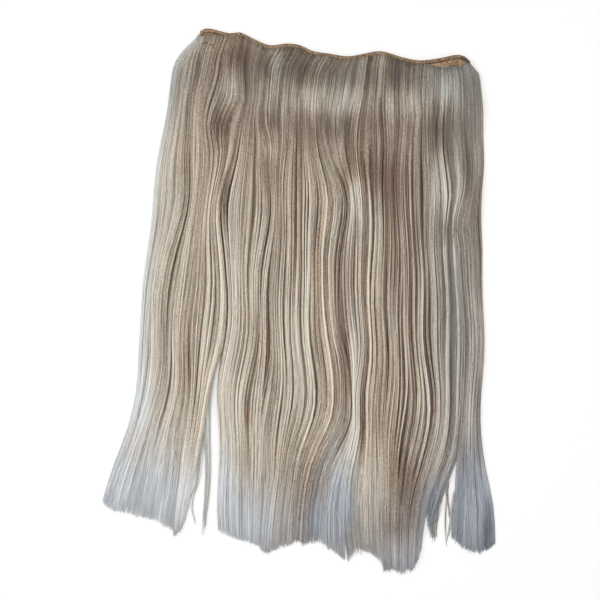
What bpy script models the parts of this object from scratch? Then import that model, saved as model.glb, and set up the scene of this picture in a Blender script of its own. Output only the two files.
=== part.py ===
"""Halo hair extension, lying flat with its hair falling towards -Y.

Two rows of long straight hair are sewn along one edge of a narrow lace band. The stitched
seam runs along the band's top edge, and each end of the band is folded over below the seam.
The under row lies on the surface and the top row lies on it. X runs across the band as it
lies, and Z is up. The tables hold shares of the sizes above them: shares across are of
WEFT_LENGTH from the middle of the band, and shares down are of HAIR_DROP.
"""
import math
from collections import namedtuple

import bmesh
import bpy

# Driving sizes, in metres
WEFT_LENGTH = 0.270
HAIR_DROP = 0.525
WEFT_SLOPE = math.tan(math.radians(6.3))
SEAM_HEIGHT = 0.0040
SEAM_THICKNESS = 0.0028
SEAM_WAVE = 0.0090
LACE_HEIGHT = 0.0120
LACE_THICKNESS = 0.0010
FOLD_THICKNESS = 0.0010
FOLD_LEAST_DEPTH = 0.0015
UNDER_THICKNESS = 0.0050
TOP_THICKNESS = 0.0048
BAND_CLEARANCE = 0.0020
GAP = 0.0003

# How finely the solids are divided
SEAM_STATIONS = 54
LACE_STATIONS = 30
COLUMNS = 4

# The seam's waves along the band: share across, rise as a share of SEAM_WAVE
SEAM = (
    (-0.500, 0.00), (-0.474, 0.42), (-0.389, 0.14), (-0.352, 0.38), (-0.315, -0.04),
    (-0.244, -0.70), (-0.178, -0.29), (-0.130, -0.32), (-0.085, -0.80), (-0.020, -0.90),
    (0.050, -0.96), (0.107, -0.49), (0.170, 0.00), (0.256, -0.44), (0.315, -0.54),
    (0.390, -0.03), (0.452, 0.54), (0.480, 0.45), (0.500, 0.00),
)

# The seam's rounded section: share of its height, share of its thickness
SEAM_SECTION = (
    (0.10, 0.00), (0.90, 0.00), (1.00, 0.25), (1.00, 0.60),
    (0.80, 0.95), (0.50, 1.00), (0.20, 0.95), (0.00, 0.60), (0.00, 0.25),
)

# The lines between the locks, from the left edge of the hair to its right edge.
# bare: how far below the seam the hair starts, as a share of the lace that shows there
# parts: share down at which the locks on either side part
# left, right: how far each side has moved off the line at the tips, as shares across
# root: share across at the seam
# across: shares across at the levels of LEVELS
LEVELS = (0.055, 0.122, 0.198, 0.293, 0.408, 0.541, 0.674, 0.789, 0.884, 1.000)
Line = namedtuple("Line", "bare parts left right root across")
LINES = (
    Line(0.00, 0.790, 0.000, 0.000, -0.500,
         (-0.604, -0.626, -0.650, -0.678, -0.700, -0.730, -0.739, -0.815, -0.867, -0.870)),
    Line(0.60, 0.840, 0.006, 0.006, -0.489,
         (-0.522, -0.544, -0.559, -0.561, -0.620, -0.643, -0.670, -0.752, -0.796, -0.811)),
    Line(0.02, 0.885, 0.006, 0.006, -0.407,
         (-0.444, -0.478, -0.481, -0.489, -0.511, -0.533, -0.544, -0.563, -0.593, -0.611)),
    Line(0.02, 0.580, 0.140, 0.000, -0.315,
         (-0.330, -0.343, -0.367, -0.422, -0.404, -0.406, -0.437, -0.428, -0.435, -0.426)),
    Line(0.02, 0.885, 0.006, 0.006, -0.222,
         (-0.263, -0.270, -0.256, -0.244, -0.274, -0.285, -0.319, -0.326, -0.319, -0.315)),
    Line(0.02, 0.925, 0.006, 0.006, -0.111,
         (-0.152, -0.170, -0.178, -0.189, -0.198, -0.196, -0.196, -0.219, -0.241, -0.256)),
    Line(0.02, 0.885, 0.006, 0.006, -0.022,
         (-0.059, -0.070, -0.067, -0.026, -0.037, -0.026, -0.007, -0.081, -0.119, -0.126)),
    Line(0.02, 0.885, 0.006, 0.006, 0.019,
         (-0.019, -0.030, -0.019, 0.041, 0.019, 0.011, 0.056, -0.007, -0.052, -0.056)),
    Line(0.02, 0.925, 0.006, 0.006, 0.111,
         (0.100, 0.078, 0.063, 0.074, 0.085, 0.076, 0.067, 0.041, 0.033, 0.044)),
    Line(0.02, 0.925, 0.006, 0.006, 0.185,
         (0.174, 0.163, 0.181, 0.178, 0.174, 0.165, 0.163, 0.167, 0.170, 0.181)),
    Line(0.02, 0.925, 0.006, 0.006, 0.241,
         (0.237, 0.233, 0.230, 0.231, 0.233, 0.237, 0.237, 0.220, 0.207, 0.218)),
    Line(0.02, 0.925, 0.006, 0.006, 0.333,
         (0.326, 0.319, 0.315, 0.326, 0.330, 0.339, 0.363, 0.330, 0.281, 0.274)),
    Line(0.95, 0.885, 0.004, 0.030, 0.415,
         (0.419, 0.419, 0.415, 0.433, 0.426, 0.426, 0.430, 0.400, 0.348, 0.322)),
    Line(1.00, 0.790, 0.033, 0.007, 0.470,
         (0.474, 0.476, 0.485, 0.481, 0.474, 0.481, 0.481, 0.452, 0.444, 0.415)),
    Line(0.10, 0.790, 0.000, 0.000, 0.489,
         (0.537, 0.546, 0.552, 0.543, 0.548, 0.552, 0.544, 0.552, 0.587, 0.600)),
)

# The locks, from left to right.
# left, middle, right: shares down at which the lock's end lies
# shorter: sections by which the top row's lock is shorter, or None where there is none
Lock = namedtuple("Lock", "left middle right shorter")
LOCKS = (
    Lock(0.870, 0.882, 0.884, None),
    Lock(0.886, 0.899, 0.920, 2),
    Lock(0.933, 0.930, 0.910, 3),
    Lock(0.920, 0.935, 0.943, 2),
    Lock(0.943, 0.954, 0.964, 3),
    Lock(0.964, 0.956, 0.947, 2),
    Lock(0.949, 0.943, 0.943, 4),
    Lock(0.945, 0.962, 0.979, 2),
    Lock(0.979, 0.960, 0.990, 3),
    Lock(0.994, 0.995, 0.994, 2),
    Lock(0.994, 0.999, 0.996, 3),
    Lock(0.996, 0.990, 0.960, 2),
    Lock(0.926, 0.952, 0.931, 3),
    Lock(0.937, 0.962, 0.945, None),
)

# The lines between which the lace shows below the seam, at the two folded ends
LEFT_FOLD_LINES = (1, 2)
RIGHT_FOLD_LINES = (11, 13)

# The hair's sections down its length, as shares down. The second is set by the lace instead.
ROWS = (
    0.000, None, 0.055, 0.090, 0.122, 0.160, 0.198, 0.245, 0.293, 0.350, 0.408, 0.475,
    0.541, 0.580, 0.630, 0.674, 0.730, 0.790, 0.840, 0.885, 0.925, 0.965, 1.000,
)

# How full the rows are: share down, share of UNDER_THICKNESS, share of TOP_THICKNESS
FULLNESS = (
    (0.000, 0.25, 0.26), (0.020, 0.50, 0.50), (0.055, 0.90, 0.95), (0.090, 1.00, 1.00),
    (0.122, 0.95, 0.92), (0.198, 0.78, 0.74), (0.293, 0.86, 0.82), (0.541, 0.80, 0.75),
    (0.790, 0.62, 0.55), (0.885, 0.42, 0.36), (1.000, 0.24, 0.20),
)

# Shares of the fullness in the creases between locks and at the hair's two outer edges
UNDER_CREASE = 0.80
TOP_CREASE = 0.55
OUTER_EDGE = 0.30
ROUNDNESS = 0.6
TIP_THINNING = (0.35, 0.60, 0.85)


def smooth(points, place):
    """Height at a place along a smooth curve through points of (place, height)."""
    if place <= points[0][0]:
        return points[0][1]
    if place >= points[-1][0]:
        return points[-1][1]
    upper = next(i for i, point in enumerate(points) if point[0] > place)

    def slope(index):
        before = points[max(index - 1, 0)]
        after = points[min(index + 1, len(points) - 1)]
        return (after[1] - before[1]) / (after[0] - before[0])

    (start, low), (end, high) = points[upper - 1], points[upper]
    span = end - start
    t = (place - start) / span
    rise = high - low
    return (low
            + t * slope(upper - 1) * span
            + t * t * (3 * rise - (2 * slope(upper - 1) + slope(upper)) * span)
            + t * t * t * (-2 * rise + (slope(upper - 1) + slope(upper)) * span))


def mix(first, second, share):
    return first + (second - first) * share


def seam_top(share):
    """Y of the band's top edge at a share across."""
    return -share * WEFT_LENGTH * WEFT_SLOPE + smooth(SEAM, share) * SEAM_WAVE


def root_height(share, bare):
    """Y at which the hair starts, below the seam and any bare lace."""
    lace_showing = LACE_HEIGHT - SEAM_HEIGHT
    return seam_top(share) - SEAM_HEIGHT - GAP - bare * lace_showing


def row_height(row, root):
    """Y of one of the hair's sections, where the hair starts at the given Y."""
    if ROWS[row] is None:
        return root - (LACE_HEIGHT - SEAM_HEIGHT) - BAND_CLEARANCE
    return mix(root, -HAIR_DROP, ROWS[row])


def row_at(share):
    """The section that lies at a share down."""
    return next(i for i, place in enumerate(ROWS) if place is not None and place >= share)


def end_row(shorter=0):
    """The section at a lock's end, for a lock that is shorter by some sections."""
    return len(ROWS) - 1 - shorter


def line_across(line, height):
    """X of a line between locks at a given Y."""
    down = -height / HAIR_DROP
    if down <= LEVELS[0]:
        start = -root_height(line.root, line.bare) / HAIR_DROP
        part = min(max((down - start) / (LEVELS[0] - start), 0.0), 1.0)
        share = mix(line.root, line.across[0], 1 - (1 - part) ** 2)
    else:
        share = smooth(tuple(zip(LEVELS, line.across)), down)
    return share * WEFT_LENGTH


def side_height(line, end, row):
    """Y of a section at the side of a lock, and how far the lock has parted there."""
    root = root_height(line.root, line.bare)
    parting = row_at(line.parts)
    if row <= parting:
        return row_height(row, root), 0.0
    progress = (row - parting) / (end_row() - parting)
    return mix(row_height(parting, root), -end * HAIR_DROP, progress), progress


def lock_point(index, column, row):
    """X and Y of a point of a lock, at one of its columns and sections."""
    lock, left, right = LOCKS[index], LINES[index], LINES[index + 1]
    across = column / COLUMNS
    left_height, left_parted = side_height(left, lock.left, row)
    right_height, right_parted = side_height(right, lock.right, row)
    if left_parted or right_parted:
        middle_rise = lock.middle - (lock.left + lock.right) / 2
        parted = max(left_parted, right_parted)
        height = (mix(left_height, right_height, across)
                  - middle_rise * HAIR_DROP * parted * 4 * across * (1 - across))
    else:
        root = root_height(mix(left.root, right.root, across), mix(left.bare, right.bare, across))
        height = row_height(row, root)
    left_across = line_across(left, height) + left.right * left_parted * WEFT_LENGTH
    right_across = line_across(right, height) - right.left * right_parted * WEFT_LENGTH
    return mix(left_across, right_across, across), height


def fullness(row, which):
    """Share of a hair row's thickness at a section."""
    place = 0.020 if ROWS[row] is None else ROWS[row]
    return smooth(tuple((entry[0], entry[which]) for entry in FULLNESS), place)


def crease(index, column, inner_edge):
    """Share of the fullness left at a lock's column, which is rounded from edge to edge."""
    left_edge = OUTER_EDGE if index == 0 else inner_edge
    right_edge = OUTER_EDGE if index == len(LOCKS) - 1 else inner_edge
    across = column / COLUMNS
    return mix(mix(left_edge, right_edge, across), 1.0, math.sin(math.pi * across) ** ROUNDNESS)


def under_heights(index, column, row):
    """Z of the underside and of the top of the under row."""
    low = LACE_THICKNESS + GAP if row < 2 else 0.0
    share = fullness(row, 1) * crease(index, column, UNDER_CREASE)
    return low, low + UNDER_THICKNESS * share


def top_heights(index, column, row):
    """Z of the underside and of the top of the top row, which thins out at its tips."""
    low = under_heights(index, column, row)[1] + GAP
    sections_left = end_row(LOCKS[index].shorter) - row
    thinning = TIP_THINNING[sections_left] if sections_left < len(TIP_THINNING) else 1.0
    share = fullness(row, 2) * crease(index, column, TOP_CREASE) * thinning
    return low, low + TOP_THICKNESS * share


def material(name, colour, roughness):
    made = bpy.data.materials.new(name)
    made.use_nodes = True
    shader = made.node_tree.nodes["Principled BSDF"]
    shader.inputs["Base Color"].default_value = (*colour, 1.0)
    shader.inputs["Roughness"].default_value = roughness
    shader.inputs["Metallic"].default_value = 0.0
    made.diffuse_color = (*colour, 1.0)
    return made


def finish(name, mesh_builder, surface, parent):
    """Turn a bmesh into a named object with its faces pointing outwards."""
    bmesh.ops.triangulate(mesh_builder, faces=mesh_builder.faces[:])
    bmesh.ops.recalc_face_normals(mesh_builder, faces=mesh_builder.faces[:])
    mesh = bpy.data.meshes.new(name)
    mesh_builder.to_mesh(mesh)
    mesh_builder.free()
    mesh.materials.append(surface)
    piece = bpy.data.objects.new(name, mesh)
    piece.parent = parent
    bpy.context.collection.objects.link(piece)
    return piece


def hair_row(name, locks, heights, last_row, surface, parent):
    """A row of hair: its locks side by side, joined above the places where they part.

    The underside is laid out first and extruded, and the new face is lifted to the top. Each
    point keeps the height of its top in a layer of the mesh, which the extrusion copies.
    """
    builder = bmesh.new()
    top_layer = builder.verts.layers.float.new("top")
    shared = {}

    def point(index, column, row):
        line = index + column // COLUMNS
        if column not in (0, COLUMNS):
            key = (index, column, row)
        elif row <= row_at(LINES[line].parts):
            key = ("line", line, row)
        else:
            key = ("side", index, column, row)
        if key not in shared:
            low, high = heights(index, column, row)
            shared[key] = builder.verts.new((*lock_point(index, column, row), low))
            shared[key][top_layer] = high
        return shared[key]

    for index in locks:
        for row in range(last_row(index)):
            rounded = row + 1 == last_row(index) < end_row()
            for column in range(COLUMNS):
                corners = [point(index, column, row), point(index, column + 1, row)]
                if not (rounded and column == COLUMNS - 1):
                    corners.append(point(index, column + 1, row + 1))
                if not (rounded and column == 0):
                    corners.append(point(index, column, row + 1))
                builder.faces.new(corners[:3])
                if len(corners) == 4:
                    builder.faces.new((corners[0], corners[2], corners[3]))
    extruded = bmesh.ops.extrude_face_region(builder, geom=builder.faces[:])
    for element in extruded["geom"]:
        if isinstance(element, bmesh.types.BMVert):
            element.co.z = element[top_layer]
    return finish(name, builder, surface, parent)


def swept_strip(name, sections, surface, parent):
    """A closed solid through like sections, each a ring of points."""
    builder = bmesh.new()
    rings = [[builder.verts.new(point) for point in section] for section in sections]
    sides = len(rings[0])
    for first, second in zip(rings, rings[1:]):
        for i in range(sides):
            j = (i + 1) % sides
            builder.faces.new((first[i], first[j], second[j], second[i]))
    builder.faces.new(rings[0])
    builder.faces.new(rings[-1])
    return finish(name, builder, surface, parent)


def weft_seam(surface, parent):
    """The stitched edge: a rounded cord of stitches that runs along the top of the lace."""
    sections = []
    for i in range(SEAM_STATIONS + 1):
        share = i / SEAM_STATIONS - 0.5
        sections.append([
            (share * WEFT_LENGTH,
             seam_top(share) - part * SEAM_HEIGHT,
             LACE_THICKNESS + GAP + lift * SEAM_THICKNESS)
            for part, lift in SEAM_SECTION
        ])
    return swept_strip("weft_seam", sections, surface, parent)


def lace_band(surface, parent):
    """The flat band that the hair is sewn to, along its whole length."""
    sections = []
    for i in range(LACE_STATIONS + 1):
        share = i / LACE_STATIONS - 0.5
        across, top = share * WEFT_LENGTH, seam_top(share)
        sections.append([
            (across, top, 0.0), (across, top - LACE_HEIGHT, 0.0),
            (across, top - LACE_HEIGHT, LACE_THICKNESS), (across, top, LACE_THICKNESS),
        ])
    return swept_strip("lace_band", sections, surface, parent)


def end_fold(name, lines, surface, parent):
    """The end of the band folded over on itself, where it shows between seam and hair."""
    low = LACE_THICKNESS + GAP
    high = low + FOLD_THICKNESS
    sections = []
    first, last = lines
    for step in range((last - first) * COLUMNS + 1):
        index = min(first + step // COLUMNS, last - 1)
        part = (step - (index - first) * COLUMNS) / COLUMNS
        left, right = LINES[index], LINES[index + 1]
        share = mix(left.root, right.root, part)
        upper = seam_top(share) - SEAM_HEIGHT - GAP
        lower = root_height(share, mix(left.bare, right.bare, part)) + GAP
        if upper - lower >= FOLD_LEAST_DEPTH:
            across = share * WEFT_LENGTH
            sections.append([
                (across, upper, low), (across, lower, low),
                (across, lower, high), (across, upper, high),
            ])
    return swept_strip(name, sections, surface, parent)


def stand_on_origin(pieces, parent):
    """Move the parent so that the origin is under the middle of the whole part."""
    points = [vertex.co for piece in pieces for vertex in piece.data.vertices]
    middle = [(min(p[axis] for p in points) + max(p[axis] for p in points)) / 2 for axis in (0, 1)]
    parent.location = (-middle[0], -middle[1], -min(p[2] for p in points))


def main():
    for old in list(bpy.data.objects):
        bpy.data.objects.remove(old, do_unlink=True)
    parent = bpy.data.objects.new("extension", None)
    bpy.context.collection.objects.link(parent)

    thread = material("tan_thread", (0.36, 0.24, 0.13), 0.75)
    lace = material("tan_lace", (0.42, 0.30, 0.19), 0.85)
    fair_hair = material("fair_hair", (0.52, 0.44, 0.34), 0.45)
    cool_hair = material("cool_fair_hair", (0.48, 0.44, 0.38), 0.45)

    under_locks = range(len(LOCKS))
    top_locks = [i for i in under_locks if LOCKS[i].shorter is not None]
    pieces = [
        lace_band(lace, parent),
        weft_seam(thread, parent),
        end_fold("end_fold_left", LEFT_FOLD_LINES, lace, parent),
        end_fold("end_fold_right", RIGHT_FOLD_LINES, lace, parent),
        hair_row("under_row", under_locks, under_heights, lambda i: end_row(), cool_hair, parent),
        hair_row("top_row", top_locks, top_heights,
                 lambda i: end_row(LOCKS[i].shorter), fair_hair, parent),
    ]
    stand_on_origin(pieces, parent)


main()
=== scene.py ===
import math
from collections import namedtuple

import bmesh
import bpy
import numpy as np
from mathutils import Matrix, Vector


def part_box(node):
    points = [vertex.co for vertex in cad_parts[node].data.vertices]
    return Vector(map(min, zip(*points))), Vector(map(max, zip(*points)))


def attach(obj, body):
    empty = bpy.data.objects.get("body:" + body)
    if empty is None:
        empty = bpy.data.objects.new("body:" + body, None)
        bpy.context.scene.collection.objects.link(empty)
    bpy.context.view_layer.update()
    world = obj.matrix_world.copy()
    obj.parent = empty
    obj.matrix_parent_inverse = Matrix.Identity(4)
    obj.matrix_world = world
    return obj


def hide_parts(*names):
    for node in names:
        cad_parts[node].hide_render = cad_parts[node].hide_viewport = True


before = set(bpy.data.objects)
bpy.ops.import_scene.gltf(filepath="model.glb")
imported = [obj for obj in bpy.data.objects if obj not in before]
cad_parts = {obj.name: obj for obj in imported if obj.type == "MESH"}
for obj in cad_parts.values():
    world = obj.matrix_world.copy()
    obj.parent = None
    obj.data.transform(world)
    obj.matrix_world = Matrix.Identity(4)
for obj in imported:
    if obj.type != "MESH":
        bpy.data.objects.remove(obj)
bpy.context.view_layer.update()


# The table and the light. The extension lies on a pale table and is seen from straight above.
# One long softbox reaches across the hair, so that strands shine where they lie level, and a
# weaker one from the left shapes the strings. The picture is 600 pixels wide, a millimetre each.
PICTURE_WIDTH = 0.600
PICTURE_MIDDLE = (0.0010, -0.0007)
SENSOR_WIDTH = 36.0
LENS = 72.0
HAIR_MIDDLE_HEIGHT = 0.004
TABLE_HALF_WIDTH = 4.0
TABLE_BELOW = 0.0002
ROOM_LIGHT = 0.62


def colour(sheet_value):
    """A colour given as an sRGB hex value, turned to linear light."""
    parts = [int(sheet_value[i:i + 2], 16) / 255 for i in (1, 3, 5)]
    return [c / 12.92 if c <= 0.04045 else ((c + 0.055) / 1.055) ** 2.4 for c in parts] + [1.0]


def add_node(surface, kind, sockets=(), **settings):
    """Add a node to a material, with its settings, its values and the sockets that feed it."""
    made = surface.node_tree.nodes.new(kind)
    for name, value in settings.items():
        setattr(made, name, value)
    for socket, value in dict(sockets).items():
        if isinstance(value, bpy.types.NodeSocket):
            surface.node_tree.links.new(value, made.inputs[socket])
        else:
            made.inputs[socket].default_value = value
    return made


def add_ramp(surface, level, stops):
    """Add a ramp through stops of (position, hex value), and give its colour."""
    ramp = add_node(surface, "ShaderNodeValToRGB", {"Fac": level})
    while len(ramp.color_ramp.elements) < len(stops):
        ramp.color_ramp.elements.new(0.5)
    for stop, (where, shade) in zip(ramp.color_ramp.elements, stops):
        stop.position, stop.color = where, colour(shade)
    return ramp.outputs["Color"]


def new_material(name):
    """An empty material, with the node that its surface is fed to."""
    surface = bpy.data.materials.new(name)
    surface.use_nodes = True
    surface.node_tree.nodes.clear()
    return surface, surface.node_tree.nodes.new("ShaderNodeOutputMaterial")


def show(name, mesh, surface):
    """Put a mesh in the scene as an object of its own, with its material."""
    piece = bpy.data.objects.new(name, mesh)
    mesh.materials.append(surface)
    bpy.context.collection.objects.link(piece)
    return piece


camera_data = bpy.data.cameras.new("camera")
camera_data.lens = LENS
camera_data.sensor_width = SENSOR_WIDTH
camera = bpy.data.objects.new("camera", camera_data)
bpy.context.collection.objects.link(camera)
camera.location = (*PICTURE_MIDDLE, HAIR_MIDDLE_HEIGHT + PICTURE_WIDTH * LENS / SENSOR_WIDTH)
bpy.context.scene.camera = camera

# Matt white paint, which gives a plain white ground with only faint shadows beside the hair
table_paint, output = new_material("white_table_paint")
paint = add_node(table_paint, "ShaderNodeBsdfPrincipled", {
    "Base Color": colour("#fdfdfd"), "Roughness": 0.8,
})
table_paint.node_tree.links.new(paint.outputs[0], output.inputs["Surface"])
builder = bmesh.new()
bmesh.ops.create_grid(builder, x_segments=1, y_segments=1, size=TABLE_HALF_WIDTH)
bmesh.ops.translate(builder, verts=builder.verts, vec=(0, 0, -TABLE_BELOW))
table_mesh = bpy.data.meshes.new("table")
builder.to_mesh(table_mesh)
builder.free()
table = show("table", table_mesh, table_paint)

world = bpy.data.worlds.new("studio")
world.use_nodes = True
world.node_tree.nodes["Background"].inputs["Color"].default_value = colour("#f4f6fa")
world.node_tree.nodes["Background"].inputs["Strength"].default_value = ROOM_LIGHT
bpy.context.scene.world = world
bpy.context.scene.view_settings.view_transform = "Standard"


def softbox(name, place, size, watts, tint):
    """A rectangular studio light at a place, aimed at the table's middle."""
    data = bpy.data.lights.new(name, "AREA")
    data.shape = "RECTANGLE"
    data.size, data.size_y = size
    data.energy = watts
    data.color = colour(tint)[:3]
    lamp = bpy.data.objects.new(name, data)
    lamp.location = place
    lamp.rotation_euler = Vector(place).to_track_quat("Z", "Y").to_euler()
    bpy.context.collection.objects.link(lamp)


softbox("long_softbox", (0.0, 0.02, 1.9), (1.9, 0.34), 17.0, "#fdf9ef")
softbox("left_softbox", (-1.6, 0.5, 1.1), (0.8, 0.8), 9.0, "#f2f6ff")


# The lace band. A narrow tan tape of fine net, woven from matte polyester, that the hair is
# sewn to. It runs in waves along the top, and shows below the seam only near its ends.
SEAM_HEIGHT = 0.0040
SEAM_THICKNESS = 0.0028
SEAM_WAVE = 0.0090
BAND_SLOPE = math.tan(math.radians(6.3))
LACE_HEIGHT = 0.0120
LACE_THICKNESS = 0.0010
LACE_MESH = 0.0009

# The air left between pieces that lie on each other, in metres
GAP = 0.0003

# The waves of the band's top edge: share across, rise as a share of SEAM_WAVE
SEAM = (
    (-0.500, 0.00), (-0.474, 0.42), (-0.389, 0.14), (-0.352, 0.38), (-0.315, -0.04),
    (-0.244, -0.70), (-0.178, -0.29), (-0.130, -0.32), (-0.085, -0.80), (-0.020, -0.90),
    (0.050, -0.96), (0.107, -0.49), (0.170, 0.00), (0.256, -0.44), (0.315, -0.54),
    (0.390, -0.03), (0.452, 0.54), (0.480, 0.45), (0.500, 0.00),
)

band_low, band_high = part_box("lace_band")
BAND_LENGTH = band_high.x - band_low.x
BAND_MIDDLE = (band_low.x + band_high.x) / 2


def mix(first, second, share):
    return first + (second - first) * share


def through(points, places):
    """Values at many places along a smooth curve through points of (place, value)."""
    known, values = np.array(points, float).T
    before = np.concatenate(([0], np.arange(len(known) - 1)))
    after = np.concatenate((np.arange(1, len(known)), [len(known) - 1]))
    slopes = (values[after] - values[before]) / (known[after] - known[before])
    places = np.clip(places, known[0], known[-1])
    i = np.clip(np.searchsorted(known, places, side="right") - 1, 0, len(known) - 2)
    span, rise = known[i + 1] - known[i], values[i + 1] - values[i]
    t = (places - known[i]) / span
    return (values[i] + t * slopes[i] * span
            + t * t * (3 * rise - (2 * slopes[i] + slopes[i + 1]) * span)
            + t * t * t * (-2 * rise + (slopes[i] + slopes[i + 1]) * span))


def band_rise(share):
    """How far the band's top edge lies above the band's middle, at a share across."""
    return -share * BAND_LENGTH * BAND_SLOPE + through(SEAM, share) * SEAM_WAVE


# Y of the level that all shares down start from: the top edge at the middle, without its waves
BAND_HEIGHT = band_high.y - band_rise(np.linspace(-0.5, 0.5, 31)).max()

# Tan lace, which gives the eye a dull, fine net: light threads that cross over a darker ground.
# The wave texture repeats every 0.31 units at a scale of 1, so upright threads lie LACE_MESH apart.
WAVE_REPEAT = 0.31
lace, output = new_material("tan_polyester_lace")
place = add_node(lace, "ShaderNodeTexCoord").outputs["Object"]
threads = [
    add_node(lace, "ShaderNodeTexWave", {
        "Vector": place, "Scale": WAVE_REPEAT / LACE_MESH, "Distortion": 1.2, "Detail": 2.0,
    }, bands_direction=way).outputs["Fac"]
    for way in ("DIAGONAL", "X")
]
crossing = add_node(lace, "ShaderNodeMath", {0: threads[0], 1: threads[1]}, operation="MAXIMUM")
dye = add_ramp(lace, crossing.outputs[0], ((0.0, "#83694f"), (1.0, "#b59b7a")))
relief = add_node(lace, "ShaderNodeBump", {
    "Height": crossing.outputs[0], "Distance": 0.0003, "Strength": 0.8,
})
cloth = add_node(lace, "ShaderNodeBsdfPrincipled", {
    "Base Color": dye, "Normal": relief.outputs["Normal"], "Roughness": 0.85,
    "Sheen Weight": 0.2,
})
lace.node_tree.links.new(cloth.outputs[0], output.inputs["Surface"])
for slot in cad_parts["lace_band"].material_slots:
    slot.material = lace


# The seam. A cord of overlocked polyester thread binds the roots of the hair to the tape's top
# edge. Its golden stitches slant across the brown cord and wrap round it. At the right end the
# cord is turned under bare, and is darkened there with painted shade.
STITCH_PITCH = 0.0015
STITCH_RADIUS = 0.00044
STITCH_SLANT = 0.0024
STITCH_JITTER = 0.00012

# How far down the cord a stitch starts and how much further it reaches, as shares of the cord's
# height, and how unevenly
STITCH_START = 0.04
STITCH_REACH = 0.92
STITCH_UNEVEN = (-0.10, 0.22)
STITCH_STEPS = 7
STITCH_SIDES = 6

# The stretch of the cord that is stitched, as shares across, the X at which the painted shade on
# its bare end begins and where it is darkest, and how dark that painted shade is
STITCHED = (-0.498, 0.462)
BARE_END = (0.159, 0.162)
BARE_END_SHADE = 0.75

# Golden thread, lighter and darker by turns, so that stitches look spun out of many fibres
golden_thread, output = new_material("golden_polyester_thread")
place = add_node(golden_thread, "ShaderNodeTexCoord").outputs["Object"]
fibre = add_node(golden_thread, "ShaderNodeTexNoise", {
    "Vector": place, "Scale": 420.0, "Detail": 3.0,
})
dye = add_ramp(golden_thread, fibre.outputs["Fac"], ((0.38, "#6a4d36"), (0.62, "#d4b188")))
relief = add_node(golden_thread, "ShaderNodeBump", {
    "Height": fibre.outputs["Fac"], "Distance": 0.00015, "Strength": 0.6,
})
thread = add_node(golden_thread, "ShaderNodeBsdfPrincipled", {
    "Base Color": dye, "Normal": relief.outputs["Normal"], "Roughness": 0.6,
    "Sheen Weight": 0.15,
})
golden_thread.node_tree.links.new(thread.outputs[0], output.inputs["Surface"])

# Brown thread, finely mottled and dull, which shows as the darker cord between the stitches
brown_thread, output = new_material("brown_polyester_thread")
place = add_node(brown_thread, "ShaderNodeTexCoord").outputs["Object"]
fibre = add_node(brown_thread, "ShaderNodeTexNoise", {
    "Vector": place, "Scale": 1300.0, "Detail": 2.0,
})
dye = add_ramp(brown_thread, fibre.outputs["Fac"], ((0.0, "#513c29"), (1.0, "#876c4d")))
# Painted shade: towards its bare right end, the cord's colour is mixed into a dark grey-brown by
# its X
across = add_node(brown_thread, "ShaderNodeSeparateXYZ", {"Vector": place})
painted_end_shade = add_node(brown_thread, "ShaderNodeMapRange", {
    "Value": across.outputs["X"], "From Min": BARE_END[0], "From Max": BARE_END[1],
    "To Max": BARE_END_SHADE,
})
shaded = add_node(brown_thread, "ShaderNodeMix", {
    0: painted_end_shade.outputs[0], 6: dye, 7: colour("#453830"),
}, data_type="RGBA")
thread = add_node(brown_thread, "ShaderNodeBsdfPrincipled", {
    "Base Color": shaded.outputs[2], "Roughness": 0.6,
})
brown_thread.node_tree.links.new(thread.outputs[0], output.inputs["Surface"])
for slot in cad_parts["weft_seam"].material_slots:
    slot.material = brown_thread


# How many cells the map has across for each one up, and the cells' empty margins as shares
CELL_SHAPE = 0.08
CELL_MARGIN_U = 0.01
CELL_MARGIN_V = 0.08


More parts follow.
